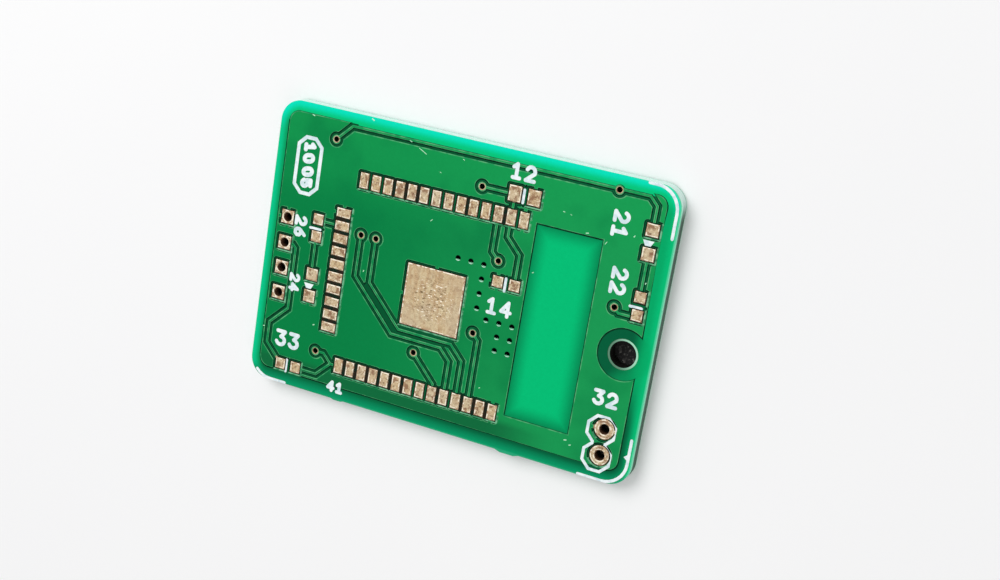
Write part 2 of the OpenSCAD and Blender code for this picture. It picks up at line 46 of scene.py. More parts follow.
class Value:
    """A socket, or a plain colour, in a material. Arithmetic on it adds Math nodes."""

    def __init__(self, tree, socket):
        self.tree, self.socket = tree, socket

    def node(self, kind, settings=None, inputs=None, output=0):
        """Adds a node with its settings, then the values or links of its sockets."""
        made = self.tree.nodes.new(kind)
        for key, value in (settings or {}).items():
            setattr(made, key, value)
        for key, value in (inputs or {}).items():
            if isinstance(value, Value):
                value = value.socket
            if isinstance(value, bpy.types.NodeSocket):
                self.tree.links.new(value, made.inputs[key])
            else:
                made.inputs[key].default_value = value
        return Value(self.tree, made.outputs[output])

    def math(self, operation, *operands):
        return self.node("ShaderNodeMath", {"operation": operation}, dict(enumerate(operands)))

    def __add__(self, other):
        return self.math("ADD", self, other)

    def __radd__(self, other):
        return self.math("ADD", other, self)

    def __sub__(self, other):
        return self.math("SUBTRACT", self, other)

    def __rsub__(self, other):
        return self.math("SUBTRACT", other, self)

    def __mul__(self, other):
        return self.math("MULTIPLY", self, other)

    def __rmul__(self, other):
        return self.math("MULTIPLY", other, self)

    def __abs__(self):
        return self.math("ABSOLUTE", self)

    def least(self, other):
        return self.math("MINIMUM", self, other)

    def most(self, other):
        return self.math("MAXIMUM", self, other)

    def root(self):
        return self.math("SQRT", self)

    def above(self, edge):
        return self.math("GREATER_THAN", self, edge)

    def below(self, edge):
        return self.math("LESS_THAN", self, edge)

    def ease(self, start, end):
        """0 at start, 1 at end, with a soft run between."""
        return self.node("ShaderNodeMapRange", {"interpolation_type": "SMOOTHSTEP"},
                         {0: self, 1: start, 2: end, 3: 0.0, 4: 1.0})

    def noise(self, scale, detail=2.0, rough=0.5, stretch=None):
        place = self
        if stretch:
            place = self.node("ShaderNodeVectorMath", {"operation": "MULTIPLY"},
                              {0: self, 1: stretch})
        return self.node("ShaderNodeTexNoise", {},
                         {"Vector": place, "Scale": scale, "Detail": detail,
                          "Roughness": rough})

    def over(self, under, amount):
        """This colour laid over another by an amount from 0 to 1."""
        return self.node("ShaderNodeMix", {"data_type": "RGBA"},
                         {0: amount, 6: under, 7: self}, 2)

    def brighter(self, amount):
        """This colour times a number that varies over the surface."""
        return self.node("ShaderNodeVectorMath", {"operation": "SCALE"},
                         {0: self, "Scale": amount})


def linear(red, green, blue):
    """A colour as seen on a screen, 0 to 255, as the renderer's linear light."""
    def channel(value):
        value = value / 255
        return value / 12.92 if value <= 0.04045 else ((value + 0.055) / 1.055) ** 2.4
    return (channel(red), channel(green), channel(blue), 1.0)


class Finish:
    """A material with its shader, the place on the board in millimetres, and colours."""

    def __init__(self, name, roughness=0.5, metallic=0.0, specular=0.5):
        self.material = bpy.data.materials.new(name)
        self.material.use_nodes = True
        self.tree = self.material.node_tree
        self.shader = self.tree.nodes["Principled BSDF"]
        self.shader.inputs["Roughness"].default_value = roughness
        self.shader.inputs["Metallic"].default_value = metallic
        self.shader.inputs["Specular IOR Level"].default_value = specular
        start = Value(self.tree, None)
        place = start.node("ShaderNodeTexCoord", output=3)
        self.place = start.node("ShaderNodeVectorMath", {"operation": "SCALE"},
                                {0: place, "Scale": 1000.0})
        parts = self.place.node("ShaderNodeSeparateXYZ", {}, {0: self.place})
        outs = parts.socket.node.outputs
        self.x, self.y, self.z = (Value(self.tree, outs[k]) for k in range(3))

    def colour(self, red, green, blue):
        return Value(self.tree, linear(red, green, blue))

    def feed(self, socket, value):
        self.tree.links.new(value.socket, self.shader.inputs[socket])

    def bump(self, height, distance, strength):
        self.feed("Normal", height.node("ShaderNodeBump", {},
                  {"Strength": strength, "Distance": distance, "Height": height}))

    def from_point(self, point):
        """Offsets across and along the board from a point on it, and the distance from it."""
        across, along = self.x - point[0], self.y - point[1]
        return across, along, (across * across + along * along).root()

    def box_depth(self, centre, size, corner):
        """Distance inside a rectangle with round corners, in millimetres."""
        across = abs(self.x - centre[0]) - (size[0] / 2 - corner)
        along = abs(self.y - centre[1]) - (size[1] / 2 - corner)
        out_x, out_y = across.most(0.0), along.most(0.0)
        return corner - ((out_x * out_x + out_y * out_y).root() + across.most(along).least(0.0))

    def wear(self, *nodes):
        for name in nodes:
            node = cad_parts[name]
            node.data.materials.clear()
            node.data.materials.append(self.material)


# places and sizes in millimetres: the board, its copper planes, the antenna window, and the
# mounting hole with the ring round it that has no copper
board_middle, board_size, board_corner = (0.0, 0.09), (40.4, 28.1), 2.1
plane_middle, plane_size, plane_corner = (-0.175, 0.24), (38.15, 25.8), 1.0
window_middle, window_size, window_corner = (10.51, -1.19), (6.5, 18.6), 0.05
hole_middle, ring_radius = (17.46, -1.70), 2.5
# the mask stands at its full height over copper and sinks in the gaps between two foils
mask_top, gap_level = 1.6, 1.585

mask = Finish("green_solder_mask", roughness=0.34, specular=0.03)
cloud = mask.place.noise(0.16, 2.0, 0.55)
fine = mask.place.noise(2.6, 3.0, 0.6)
speckle = mask.place.noise(7.0, 2.0, 0.6)
to_right, to_back = mask.x.ease(-12.0, 17.0), mask.y.ease(4.0, 11.0)
to_front = mask.y.ease(-12.2, -13.4)

# over copper: leaf green, lighter to the right and along the back, with soft clouds
over_copper = mask.colour(26, 152, 83).over(mask.colour(6, 127, 67), to_right)
over_copper = mask.colour(22, 158, 82).over(over_copper, to_back * 0.6)
over_copper = mask.colour(4, 118, 64).over(over_copper, cloud.ease(0.48, 0.72) * 0.5)
component_side = mask.z.above(mask_top / 2)
# painted shade: a darker band over the copper along the front, fading out towards the right
front_strip_shade = mask.y.ease(-10.8, -11.7) * mask.x.ease(13.0, 5.0) * component_side
over_copper = mask.colour(16, 106, 60).over(over_copper, front_strip_shade)

# gaps that only the far side's copper backs
gap = mask.colour(7, 98, 58).over(mask.colour(5, 82, 46), to_right)

# the rim, bare on both sides: painted glow of light coming through, most of all along the back and
# the cut edge, and painted shade towards the front and on the right side towards the front
rim = mask.box_depth(board_middle, board_size, board_corner)
right_inner_shade = mask.colour(4, 120, 75).over(mask.colour(4, 168, 102), mask.y.ease(-3.5, -9.0))
inner = right_inner_shade.over(mask.colour(5, 148, 85), to_right)
outer = mask.colour(5, 188, 117).over(mask.colour(9, 198, 138), to_right)
inner = mask.colour(4, 196, 122).over(inner, mask.y.ease(11.6, 13.0))
outer = mask.colour(6, 226, 188).over(outer, mask.y.ease(10.8, 13.4))
inner = mask.colour(4, 118, 76).over(inner, to_front)
outer = mask.colour(8, 150, 100).over(outer, to_front)
clear = outer.over(inner, rim.ease(0.95, 0.12))
# painted shade beside the copper on the sides away from the light, and a painted highlight on the
# arris
plane = mask.box_depth(plane_middle, plane_size, plane_corner)
beside_plane_shade = plane.ease(-0.6, -0.1) * mask.y.ease(-3.0, -9.0) * mask.x.ease(-19.6, -18.6)
clear = mask.colour(3, 66, 40).over(clear, beside_plane_shade * 0.6)
arris = mask.colour(40, 164, 118).over(mask.colour(84, 210, 160), to_front)
clear = arris.over(clear, rim.ease(0.18, 0.06) * (mask.x - mask.y).ease(0.0, 8.0))

# the antenna window: painted glow of light through the board, with painted shade near the copper
# round it
window = mask.box_depth(window_middle, window_size, window_corner)
lit_window = mask.colour(3, 190, 117).over(mask.colour(3, 124, 74), window.ease(-0.5, 1.7))
clear = lit_window.over(clear, window.above(0.0))

# the ring round the mounting hole: painted shade from the copper behind it, lighter towards the
# front right, with a band of painted glow round it
from_hole_x, from_hole_y, from_hole = mask.from_point(hole_middle)
ring_here = from_hole.below(ring_radius)
ring = mask.colour(6, 140, 84).over(mask.colour(4, 93, 58),
                                    (from_hole_x - from_hole_y).ease(0.4, 2.8))
clear = mask.colour(3, 168, 100).over(clear, from_hole.ease(3.0, 2.2) * 0.7)
clear = ring.over(clear, ring_here * mask.x.ease(19.6, 18.0))

# beyond the long track along the back edge nothing backs the mask either
outside_track = mask.y.above(12.93) * mask.x.above(-11.9) * component_side
bare = (1 - plane.above(0.0)).most(window.above(0.0)).most(ring_here).most(outside_track)
# a height between the two levels of the mask tells copper from gap, on either side
half_step = 0.007
raised = mask.z.above(gap_level + half_step)
raised = raised.most(mask.z.below(mask_top - gap_level - half_step))
skin = over_copper.over(clear.over(gap, bare), raised)
mask.feed("Base Color", skin.brighter(0.9 + fine * 0.12 + speckle * 0.08))
mask.feed("Roughness", 0.3 + cloud * 0.16)
mask.bump(mask.place.noise(1.3, 2.0, 0.5), 0.000004, 0.6)
mask.wear("solder_mask_top", "solder_mask_bottom")


# ---------------------------------------------------------------------------------------------
# Laminate.
# Woven glass in epoxy, sheared and routed to shape. It shows at the rim, in the walls of the
# mounting hole and as a dark line round each pad, where the mask stops short. Its colour carries
# painted glow and shade at the cut edge, and painted shade in the hole wall and round the pads.
# ---------------------------------------------------------------------------------------------

sheet = Finish("glass_epoxy_laminate", roughness=0.6, specular=0.1)
weave = sheet.place.noise(3.2, 3.0, 0.6, (0.35, 0.35, 9.0))
layers = weave.ease(0.35, 0.68)
# painted glow: the pale laminate of the cut edge is lit to near white, in the stripes of its
# layers
cut_edge = sheet.colour(240, 255, 252).over(sheet.colour(200, 238, 224), layers)
# away from the light only the upper third of the edge has painted glow; the rest is painted shade
lower_edge_shade = sheet.colour(94, 118, 104).over(sheet.colour(62, 84, 72), layers)
shaded_edge = sheet.colour(150, 236, 198).over(lower_edge_shade, sheet.z.ease(0.9, 1.3))
right_side = sheet.x.ease(18.6, 20.1) * sheet.y.ease(13.6, 11.0)
front_side = sheet.y.ease(-12.4, -13.9) * sheet.x.ease(-19.8, -18.4)
cut_edge = shaded_edge.over(cut_edge, right_side.most(front_side))
# painted shade: the bare laminate in the narrow moat round each pad is near black
deck = sheet.colour(6, 30, 18).over(sheet.colour(34, 26, 16),
                                     sheet.place.noise(1.7).ease(0.42, 0.62))
# what the mask leaves bare of the sheet's two faces
on_deck = sheet.z.above(1.535).most(sheet.z.below(0.065))
# the mounting hole: a pale ring of bare laminate round it, lighter towards the right with painted
# light, and a wall painted dark with shade
bare_radius, wall_radius = 1.8, 1.32
from_hole_x, from_hole_y, from_hole = sheet.from_point(hole_middle)
pale_ring = sheet.colour(168, 224, 194).over(sheet.colour(96, 138, 114),
                                             (from_hole_x + from_hole_y * 0.4).ease(-1.0, 1.4))
deck = pale_ring.over(deck, from_hole.below(bare_radius))
cut_edge = sheet.colour(24, 24, 22).over(cut_edge, from_hole.below(wall_radius))
sheet.feed("Base Color", deck.over(cut_edge, on_deck))
sheet.bump(weave, 0.00002, 0.5)
sheet.wear("laminate")


# ---------------------------------------------------------------------------------------------
# Copper, gold finish and plated walls.
# Rolled foil, etched to shape, then dipped in nickel and gold wherever the mask leaves it open.
# The finish is a dull tan with a scoured grain and brown flux stains.
# ---------------------------------------------------------------------------------------------

thermal_middle, thermal_size = (-1.71, -1.5), 6.1

gold = Finish("dull_gold_finish", roughness=0.45, metallic=0.15, specular=0.35)
from_middle_x, from_middle_y, from_middle = gold.from_point(thermal_middle)
large_square = abs(from_middle_x).most(abs(from_middle_y)).below(thermal_size / 2)
contrast = 1 - large_square * 0.65
grain = gold.place.noise(4.2, 5.0, 0.7)
streak = gold.place.noise(1.0, 3.0, 0.6, (2.6, 0.8, 1.0))
stain = gold.place.noise(1.7, 4.0, 0.62)
nick = gold.place.noise(3.4, 2.0, 0.5, (1.0, 2.2, 1.0))
tan = gold.colour(207, 187, 148).over(gold.colour(193, 164, 124), streak.ease(0.36, 0.66))
tan = gold.colour(199, 182, 152).over(tan, gold.place.noise(0.35, 1.0).ease(0.4, 0.66) * 0.6)
tan = gold.colour(248, 236, 208).over(tan, grain.ease(0.55, 0.68) * contrast * 0.8)
tan = gold.colour(88, 58, 34).over(tan, grain.ease(0.46, 0.34) * contrast * 0.8)
tan = gold.colour(126, 82, 54).over(tan, stain.ease(0.5, 0.62) * contrast * 0.8)
# the middle of the large square is scoured: short dark nicks and bright ones
scoured = from_middle.ease(2.9, 1.2)
tan = gold.colour(100, 76, 42).over(tan, nick.ease(0.58, 0.66) * scoured * 0.85)
tan = gold.colour(255, 246, 226).over(tan, nick.ease(0.38, 0.32) * scoured)
gold.feed("Base Color", tan)
gold.feed("Roughness", 0.36 + grain * 0.3)
gold.bump(grain - nick * scoured, 0.00002, 0.5)
finished = [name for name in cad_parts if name.endswith("_gold")]
foils = [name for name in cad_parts
         if name.endswith(("_track", "_tracks", "_lands")) or name.startswith("ground_plane")]
gold.wear(*finished, *foils)

wall = Finish("plated_hole_wall", roughness=0.5, metallic=0.2)
grime = wall.place.noise(2.0, 3.0, 0.6)
# the plated copper shows as a thin bright mouth at the top of each hole; below it the wall is
# painted shade, near black in the vias and brown darkening downwards in the larger pin holes
pin_hole = wall.x.below(-17.0).most(wall.x.above(14.0) * wall.y.below(-7.0))
shade = wall.colour(112, 80, 60).over(wall.colour(18, 13, 11), wall.z.ease(0.5, 1.4) * pin_hole)
bronze = wall.colour(206, 164, 128).over(shade, wall.z.ease(1.5, 1.59))
wall.feed("Base Color", bronze.brighter(0.7 + grime * 0.6))
wall.bump(grime, 0.00003, 0.6)
wall.wear(*[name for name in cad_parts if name.endswith("_barrels")])


# ---------------------------------------------------------------------------------------------
# Legend.
# A white epoxy ink, screened on the cured mask in one pass. It is faintly blue and thins out a
# little where it runs over steps. The part numbers are plain two-digit numbers.
# ---------------------------------------------------------------------------------------------

ink = Finish("white_legend_ink", roughness=0.55, specular=0.35)
blotch = ink.place.noise(1.6, 3.0, 0.6)
white = ink.colour(240, 248, 250).over(ink.colour(206, 226, 232), blotch.ease(0.34, 0.6))
ink.feed("Base Color", white)
ink.bump(blotch, 0.00001, 0.4)
ink.wear(*[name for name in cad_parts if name.endswith("_ink")])


def piece(name, points, faces, finish):
    """A mesh piece from points in millimetres, fixed to the board."""
    mesh = bpy.data.meshes.new(name)
    mesh.from_pydata([[c * mm for c in p] for p in points], [], faces)
    mesh.update()
    made = bpy.data.objects.new(name, mesh)
    scene.collection.objects.link(made)
    made.data.materials.append(finish.material)
    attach(made, "root")


# each stretch or band lies a hair higher than the last, so that no two tops share a plane
hair = 0.0003


class Build:
    """Points and faces that grow together into one mesh."""

    def __init__(self):
        self.points, self.faces, self.step = [], [], 0

    def slab(self, outline, low, high):
        """A flat slab over a convex outline, without its hidden underside."""
        first, count = len(self.points), len(outline)
        self.points += [(x, y, high) for x, y in outline] + [(x, y, low) for x, y in outline]
        self.faces.append(tuple(range(first, first + count)))
        for i in range(count):
            j = (i + 1) % count
            self.faces.append((first + i, first + count + i, first + count + j, first + j))

    def stroke(self, points, width, low, high):
        """A pen line with round ends and joints."""
        for (ax, ay), (bx, by) in zip(points, points[1:]):
            angle = math.atan2(by - ay, bx - ax)
            turn = [angle + math.pi / 2 + math.pi * k / 6 for k in range(7)]
            outline = [(ax + width / 2 * math.cos(t), ay + width / 2 * math.sin(t)) for t in turn]
            outline += [(bx - width / 2 * math.cos(t), by - width / 2 * math.sin(t)) for t in turn]
            self.step = self.step % 24 + 1
            self.slab(outline, low, high + self.step * hair)


def arc(cx, cy, rx, ry, start, end, steps=8):
    """Points along part of an ellipse, between two angles in degrees."""
    return [(cx + rx * math.cos(math.radians(start + (end - start) * k / steps)),
             cy + ry * math.sin(math.radians(start + (end - start) * k / steps)))
            for k in range(steps + 1)]


# pen lines of each figure in a box one wide and one and a half high
figures = {
    "0": [arc(0.5, 0.95, 0.5, 0.55, 0, 180) + arc(0.5, 0.55, 0.5, 0.55, 180, 360)
          + [(1.0, 0.95)]],
    "1": [[(0.1, 1.15), (0.5, 1.5), (0.5, 0.0)], [(0.1, 0.0), (0.9, 0.0)]],
    "2": [arc(0.5, 1.0, 0.48, 0.5, 160, -20) + [(0.02, 0.0), (1.0, 0.0)]],
    "3": [[(0.04, 1.5), (0.96, 1.5), (0.5, 0.9)] + arc(0.48, 0.45, 0.5, 0.45, 90, -160)],
    "4": [[(0.75, 0.0), (0.75, 1.5), (0.0, 0.45), (1.05, 0.45)]],
    "5": [[(0.95, 1.5), (0.1, 1.5), (0.06, 0.85)] + arc(0.48, 0.48, 0.5, 0.48, 115, -160)],
    "6": [[(0.8, 1.5), (0.12, 0.75)] + arc(0.5, 0.45, 0.46, 0.45, 160, -200)],
}


print_high = 1.614


def number(build, figures_wanted, middle, height, turn, pen, gap=0.42, lean=0.0):
    """Prints figures round their middle, turned by quarter turns clockwise."""
    unit = (height - pen) / 1.5
    step = unit * (1.0 + gap) + pen * 0.45
    total = step * (len(figures_wanted) - 1) + unit
    for place, figure in enumerate(figures_wanted):
        for line in figures[figure]:
            drawn = []
            for u, v in line:
                x = place * step + u * unit - total / 2 + lean * (v - 0.75)
                y = (v - 0.75) * unit
                for _ in range(turn):
                    x, y = y, -x
                drawn.append((middle[0] + x, middle[1] + y))
            build.stroke(drawn, pen, mask_top, print_high)


digits = Build()
for text, centre, height, turned, pen in [
    ("12", (5.24, 12.31), 1.62, 0, 0.36), ("21", (15.04, 9.81), 1.62, 1, 0.36),
    ("22", (15.84, 4.78), 1.62, 1, 0.36), ("32", (16.66, -6.17), 1.58, 0, 0.36),
    ("14", (5.01, -0.52), 1.66, 0, 0.34), ("41", (-10.54, -12.74), 1.2, 0, 0.34),
    ("33", (-16.44, -9.42), 1.75, 0, 0.38), ("24", (-16.49, -3.5), 1.2, 1, 0.32),
    ("26", (-16.62, 2.13), 1.4, 1, 0.36),
]:
    number(digits, text, centre, height, turned, pen)
piece("part_numbers", digits.points, digits.faces, ink)

# the framed panel holds two plain pairs of heavy figures where a tester's stamp would go
panel = Build()
number(panel, "10", (-16.68, 9.4), 1.34, 1, 0.42, 0.5, -0.1)
number(panel, "05", (-16.62, 7.0), 1.34, 1, 0.42, 0.5, -0.1)
piece("panel_numbers", panel.points, panel.faces, ink)


# ---------------------------------------------------------------------------------------------
# Mask lips in the covered vias.
# The lacquer runs into each covered via and dries there as a lip on the wall that faces the light,
# with a painted highlight on its crest; across the hole the dark mouth is painted shade.
# ---------------------------------------------------------------------------------------------

lip = Finish("via_lip_highlight", roughness=0.2, specular=0.5)
# painted highlight: near white mint on the lip's crest, mask green at its edge and foot
lip.feed("Base Color", lip.colour(30, 150, 96).over(lip.colour(214, 252, 238),
                                                    lip.z.ease(1.6035, 1.601)))
# an elbow of vias round a corner of the large square, and a block of them by the window
via_pitch, elbow_pitch = 1.32, 1.4
via_places = [(2.86 - via_pitch * k, 3.08) for k in range(3)]
via_places += [(2.86, 3.08 - elbow_pitch * k) for k in range(1, 4)]
via_places += [(3.96 + via_pitch * k, -2.0) for k in range(3)]
via_places += [(3.96 + via_pitch * k, -2.0 - via_pitch * j) for j in (1, 2) for k in (1, 2)]
lip_steps, mouth_steps = 12, 16
lips, mouths = Build(), Build()
for x, y in via_places:
    # the lip's outer edge, its crest, and its foot down in the hole
    rows = [(arc(x, y - 0.08, 0.25, height, 180, 360, lip_steps), z)
            for height, z in ((0.19, 1.601), (0.15, 1.606), (0.03, 1.57))]
    for row in (0, 1):
        first = len(lips.points) + row * (lip_steps + 1)
        following = first + lip_steps + 1
        lips.faces += [(first + k, first + k + 1, following + k + 1, following + k)
                       for k in range(lip_steps)]
    lips.points += [(px, py, z) for row, z in rows for px, py in row]
    # the mouth is a dark crescent of painted shade, across the hole from the lip
    first, last = len(mouths.points), len(mouths.points) + 2 * mouth_steps + 1
    mouths.points += [(px, py, 1.6008) for px, py in
                      arc(x, y, 0.275, 0.265, -20, 200, mouth_steps)
                      + arc(x, y, 0.21, 0.21, 200, -20, mouth_steps)]
    mouths.faces += [(first + k, first + k + 1, last - 1 - k, last - k)
                     for k in range(mouth_steps)]
piece("via_mask_lips", lips.points, lips.faces, lip)

mouth_shade = Finish("via_mouth_shade", roughness=0.5, specular=0.03)
mouth_shade.feed("Base Color", mouth_shade.colour(0, 34, 20).over(
    mouth_shade.colour(0, 22, 14), mouth_shade.place.noise(3.0).ease(0.4, 0.6)))
piece("via_mouths_shade", mouths.points, mouths.faces, mouth_shade)


# ---------------------------------------------------------------------------------------------
# Lint and scratches.
# Short pale fibres that lie on the cured mask, and nicks in it. Each is given by its two ends
# and its width.
# ---------------------------------------------------------------------------------------------

fibre = Finish("pale_fibre", roughness=0.6)
fibre.feed("Base Color", fibre.colour(190, 240, 205).over(fibre.colour(120, 200, 150),
           fibre.place.noise(4.0).ease(0.3, 0.6)))
lint_high = 1.606
lint = Build()
for ax, ay, bx, by, width in [
    (-5.34, 12.28, -4.54, 11.88, 0.06), (-6.4, 12.78, -6.18, 12.7, 0.08),
    (-16.85, 13.06, -16.65, 13.0, 0.09), (-10.55, 13.95, -10.35, 13.85, 0.12),
    (-2.9, 10.55, -2.78, 10.5, 0.07), (-0.8, 12.2, -0.68, 12.16, 0.07),
    (-3.1, 5.85, -2.95, 6.0, 0.06), (-9.26, -0.6, -9.22, -0.48, 0.08),
    (16.45, 8.98, 16.53, 9.1, 0.09), (12.05, 8.28, 12.25, 8.32, 0.1),
    (13.95, 7.72, 14.1, 7.95, 0.06), (18.28, 5.1, 18.32, 5.2, 0.09),
    (13.5, -11.1, 13.7, -11.05, 0.1), (14.05, -11.45, 14.2, -11.4, 0.1),
    (4.38, -8.6, 4.46, -8.55, 0.08), (-19.3, -8.7, -19.2, -8.65, 0.09),
    (-13.85, -7.2, -13.7, -7.12, 0.08), (9.6, 9.7, 9.75, 9.68, 0.08),
    (10.3, 9.6, 10.42, 9.55, 0.07), (7.68, 3.5, 7.76, 3.56, 0.08),
]:
    lint.stroke([(ax, ay), (bx, by)], width, mask_top, lint_high)
piece("lint_and_scratches", lint.points, lint.faces, fibre)


# ---------------------------------------------------------------------------------------------
# Mask over the copper's edges.
# The lacquer thins where it runs over the edge of a foil, and the copper shows through it as a
# fine paler line along every track and plane, widened by a painted highlight where the edge faces
# the light. At the foot of the step a dark line is painted shade, wider on the sides away from the
# light.
# ---------------------------------------------------------------------------------------------

thin = Finish("thin_mask_and_edge_highlight", roughness=0.35, specular=0.06)
# partly the copper through thin lacquer, partly a painted highlight
thin.feed("Base Color", thin.colour(88, 176, 118).over(
    thin.colour(34, 146, 88), thin.place.noise(1.2).ease(0.35, 0.65)))
foot_shade = Finish("mask_foot_shade", roughness=0.4, specular=0.03)
# painted shade: a near black green line at the foot of each step
foot_shade.feed("Base Color", foot_shade.colour(2, 40, 24).over(
    foot_shade.colour(4, 60, 36), foot_shade.place.noise(1.6).ease(0.35, 0.65)))


def places(shape, level):
    """The places of a mesh's corners at one height, by their numbers."""
    return {v.index: (round(v.co.x / mm, 4), round(v.co.y / mm, 4))
            for v in shape.vertices if abs(v.co.z - level * mm) < 1e-6}


# corners of an outline that lie nearer than this are taken as one
same_place = 0.04


def outlines(name, side=1):
    """The loops round a node's topmost faces, or with side -1 its lowest ones, and their height.
    The face lies on the left of each loop, seen from above."""
    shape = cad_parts[name].data
    level = side * max(v.co.z * side for v in shape.vertices) / mm
    spots = places(shape, level)
    edges = set()
    for face in shape.polygons:
        corners = list(face.vertices)
        if all(k in spots for k in corners):
            edges |= {(spots[a], spots[b]) for a, b in zip(corners, corners[1:] + corners[:1])}
    border = {}
    for a, b in edges:
        if (b, a) not in edges:
            border.setdefault(a, []).append(b)
    loops = []
    while border:
        start = here = next(iter(border))
        loop = []
        while here in border:
            loop.append(Vector(here))
            following = border[here].pop()
            if not border[here]:
                del border[here]
            here = following
        loop = [at for k, at in enumerate(loop) if (at - loop[k - 1]).length > same_place]
        if here == start and len(loop) > 2:
            loops.append(loop[::side])
    return loops, level


# the way to the lamp, seen from above
to_light = Vector((-0.45, 0.89))


def lit(a, b):
    """How far the edge from a to b, with its face on the left, looks to the light: 0 to 1."""
    run = (b - a).normalized()
    return 0.5 - 0.5 * Vector((-run.y, run.x)).dot(to_light)


def turned_away(a, b):
    """Whether the face on the left of an edge ends away from the light there."""
    return lit(a, b) < 0.5


def ribbon(build, loop, rows, where=None, side=1):
    """A narrow band along a loop, or only along the edges that where picks. Each row is a
    distance to the left of the loop where it faces away from the light, the distance where it
    faces the light, and a height. No two neighbours lie at quite the same height."""
    count = len(loop)
    runs = [(loop[(k + 1) % count] - loop[k]).normalized() for k in range(count)]
    mitres = []
    for one, two in zip(runs[-1:] + runs[:-1], runs):
        left = Vector((-one.y - two.y, one.x + two.x))
        mitres.append(left / max(0.5, 1 + one.dot(two)))
    for k in range(count):
        j = (k + 1) % count
        if where and not where(loop[k], loop[j]):
            continue
        towards_light = lit(loop[k], loop[j])
        lift = side * hair * (build.step % 16)
        build.step += 1
        for (shaded, sunny, low), (shaded_next, sunny_next, high) in zip(rows, rows[1:]):
            first = len(build.points)
            for n, near, far, height in ((k, shaded, sunny, low), (j, shaded, sunny, low),
                                         (j, shaded_next, sunny_next, high),
                                         (k, shaded_next, sunny_next, high)):
                at = loop[n] + mitres[n] * (near + (far - near) * towards_light)
                build.points.append((at.x, at.y, height + lift))
            build.faces.append(tuple(range(first, first + 4)))


# every gold pad with its outline and height, and a box that reaches past it on each side
pads = []
for name in finished:
    if name != "signal_via_gold":
        loops, level = outlines(name)
        pads += [(loop, level) for loop in loops]
pad_reach = 0.5
pad_boxes = [(min(at.x for at in loop) - pad_reach, min(at.y for at in loop) - pad_reach,
              max(at.x for at in loop) + pad_reach, max(at.y for at in loop) + pad_reach)
             for loop, level in pads]


def by_pad(a, b):
    """Whether the middle of an edge lies beside a pad."""
    middle = (a + b) / 2
    return any(x0 < middle.x < x1 and y0 < middle.y < y1 for x0, y0, x1, y1 in pad_boxes)


def away_from_pads(a, b):
    return not by_pad(a, b)


proud = 0.002
# where the lines face the light, the pale one is finer by the pads and the dark one wider
line_widths = ((away_from_pads, 0.11, 0.035), (by_pad, 0.05, 0.09))
edge_lines, foot_lines = Build(), Build()
for name, side in (("solder_mask_top", 1), ("solder_mask_bottom", -1)):
    loops, level = outlines(name, side)
    foot = level - side * (mask_top - gap_level)
    foot_corners = {tuple(Vector(at)) for at in places(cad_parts[name].data, foot).values()}

    def in_gap(a, b):
        return tuple(a) in foot_corners and tuple(b) in foot_corners

    # a pale line along the brink of each step, partly painted highlight, and a dark line of
    # painted shade along its foot
    brink, bottom = level + side * proud, foot + side * proud
    for loop in loops:
        for where, pale_width, dark_width in line_widths:
            ribbon(edge_lines, loop, [(0.0, 0.0, brink), (0.035, pale_width, brink)], where, side)
            ribbon(foot_lines, loop, [(-0.15, -dark_width, bottom), (0.0, 0.0, bottom)],
                   lambda a, b: in_gap(a, b) and where(a, b), side)
piece("copper_edge_lines", edge_lines.points, edge_lines.faces, thin)
piece("mask_foot_shade_lines", foot_lines.points, foot_lines.faces, foot_shade)


# ---------------------------------------------------------------------------------------------
# Pad rims, and the mask's lips beside the pads.
# Along the edge of each pad a slightly raised rim carries a painted highlight, with a dull foot of
# painted shade on the sides away from the light. Beyond it the mask's opening ends in a lip with a
# painted highlight where it faces the light.
# ---------------------------------------------------------------------------------------------

# painted highlight: a near white rim along each pad
bright = Finish("pad_rim_highlight", roughness=0.35, metallic=0.1, specular=0.4)
bright.feed("Base Color", bright.colour(250, 240, 218).over(
    bright.colour(180, 144, 108), bright.place.noise(2.9, 3.0).ease(0.4, 0.58)))
# painted shade: a dull brown foot on the sides away from the light
dull = Finish("pad_rim_shade", roughness=0.45, metallic=0.1, specular=0.3)
dull.feed("Base Color", dull.colour(150, 126, 96).over(
    dull.colour(60, 52, 36), dull.place.noise(2.2, 3.0).ease(0.5, 0.7)))
# painted highlight: a pale green lip where the mask's opening faces the light
pale = Finish("opening_lip_highlight", roughness=0.35, specular=0.06)
pale.feed("Base Color", pale.colour(118, 186, 144).over(
    pale.colour(52, 132, 90), pale.place.noise(1.9, 2.0).ease(0.38, 0.6)))


def encloses(loop):
    """Whether a loop runs round its face, and not round a hole in it."""
    return sum(a.cross(b) for a, b in zip(loop, loop[1:] + loop[:1])) > 0


# how far outside an edge the next pad of a row would lie
next_pad = 0.95


def open_to_light(a, b):
    """Whether the mask beside this edge of a pad faces the light, with no pad in the way."""
    run = (b - a).normalized()
    beside = (a + b) / 2 - Vector((-run.y, run.x)) * next_pad
    return turned_away(a, b) and not any(
        x0 + pad_reach < beside.x < x1 - pad_reach and y0 + pad_reach < beside.y < y1 - pad_reach
        for x0, y0, x1, y1 in pad_boxes)


lip_level = gap_level + 0.007
rims, dull_rims, opening_lips = Build(), Build(), Build()
for loop, level in pads:
    ribbon(rims, loop, [(0.05, 0.0, level - 0.004), (0.07, 0.04, level + 0.011),
                        (0.14, 0.12, level + 0.001)])
    ribbon(dull_rims, loop, [(0.0, 0.0, level - 0.004), (0.06, 0.06, level + 0.002)], turned_away)
    if encloses(loop):
        ribbon(opening_lips, loop, [(-0.208, -0.435, lip_level), (-0.08, -0.2, lip_level)],
               open_to_light)
piece("pad_rims", rims.points, rims.faces, bright)
piece("dull_pad_rims", dull_rims.points, dull_rims.faces, dull)
piece("mask_opening_lips", opening_lips.points, opening_lips.faces, pale)


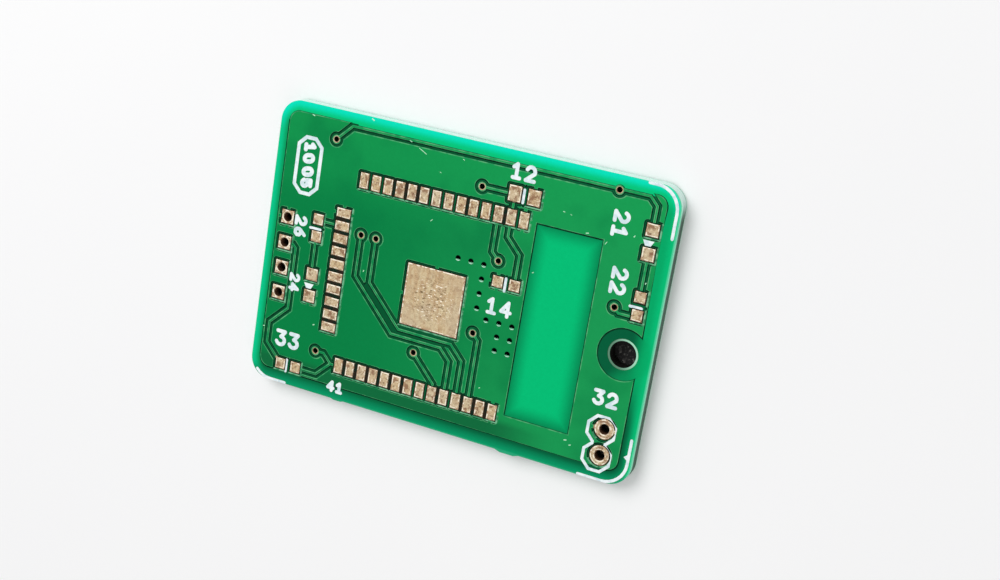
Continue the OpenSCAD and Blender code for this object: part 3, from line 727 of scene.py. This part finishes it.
# ---------------------------------------------------------------------------------------------
# Floor, light and camera.
# The board lies on a plain pale floor, with a small dark mat under it that shows only in its
# holes. A wide soft light stands behind the board and to its left.
# ---------------------------------------------------------------------------------------------

floor_tone = Finish("pale_floor", roughness=0.9, specular=0.1)
floor_tone.feed("Base Color", floor_tone.colour(250, 250, 250).over(
    floor_tone.colour(246, 246, 247), floor_tone.place.noise(0.02)))


def laid_flat(name, half_length, half_width, middle_y, height, finish):
    """A flat rectangle under the board, from sizes in millimetres."""
    mesh = bpy.data.meshes.new(name)
    mesh.from_pydata([(x * half_length * mm, (y * half_width + middle_y) * mm, height * mm)
                      for x, y in ((-1, -1), (1, -1), (1, 1), (-1, 1))], [], [(0, 1, 2, 3)])
    made = bpy.data.objects.new(name, mesh)
    made.data.materials.append(finish.material)
    scene.collection.objects.link(made)
    return made


floor = laid_flat("floor", 2000.0, 2000.0, 0.0, -0.12, floor_tone)

dark = Finish("dark_mat", roughness=0.9, specular=0.2)
speck = dark.place.noise(3.5, 4.0, 0.7)
dark.feed("Base Color", dark.colour(128, 126, 122).over(dark.colour(40, 40, 40),
                                                        speck.ease(0.52, 0.7)))
mat = laid_flat("mat", 19.4, 13.2, 0.1, -0.06, dark)


def lamp(name, place, size, power):
    """A round soft lamp that looks at the middle of the board."""
    light = bpy.data.lights.new(name, "AREA")
    light.shape, light.size, light.energy = "DISK", size, power
    made = bpy.data.objects.new(name, light)
    made.location = place
    made.rotation_mode = "QUATERNION"
    made.rotation_quaternion = (-Vector(place)).to_track_quat("-Z", "Y")
    scene.collection.objects.link(made)


lamp("key", (-0.16, 0.22, 0.34), 0.30, 0.95)
lamp("fill", (0.25, -0.2, 0.3), 0.4, 0.3)

# white where it is seen or mirrored, and dimmer as a light on the board
ambient = 0.55
world = bpy.data.worlds.new("studio")
world.use_nodes = True
scene.world = world
sky = Value(world.node_tree, None)
rays = sky.node("ShaderNodeLightPath").socket.node.outputs
seen = Value(world.node_tree, rays["Is Camera Ray"])
for kind in ("Is Glossy Ray", "Is Transmission Ray"):
    seen = seen.most(Value(world.node_tree, rays[kind]))
backdrop = world.node_tree.nodes["Background"]
backdrop.inputs["Color"].default_value = (1.0, 1.0, 1.0, 1.0)
world.node_tree.links.new((ambient + seen * (1 - ambient)).socket, backdrop.inputs["Strength"])

# the camera stands high over the back right of the board, a little rolled
lens = bpy.data.cameras.new("camera")
lens.sensor_width, lens.lens = 36.0, 53.117
lens.clip_start, lens.clip_end = 0.01, 10.0
camera = bpy.data.objects.new("camera", lens)
right = Vector((0.906583, 0.160761, -0.390210)).normalized()
back = Vector((0.344694, 0.251423, 0.904418)).normalized()
up = back.cross(right)
camera_place = Vector((51.604, 35.246, 124.291)) * mm
camera.matrix_world = Matrix.Translation(camera_place) @ Matrix(
    (right, up, back)).transposed().to_4x4()
scene.collection.objects.link(camera)
scene.camera = camera
scene.view_settings.view_transform = "Standard"
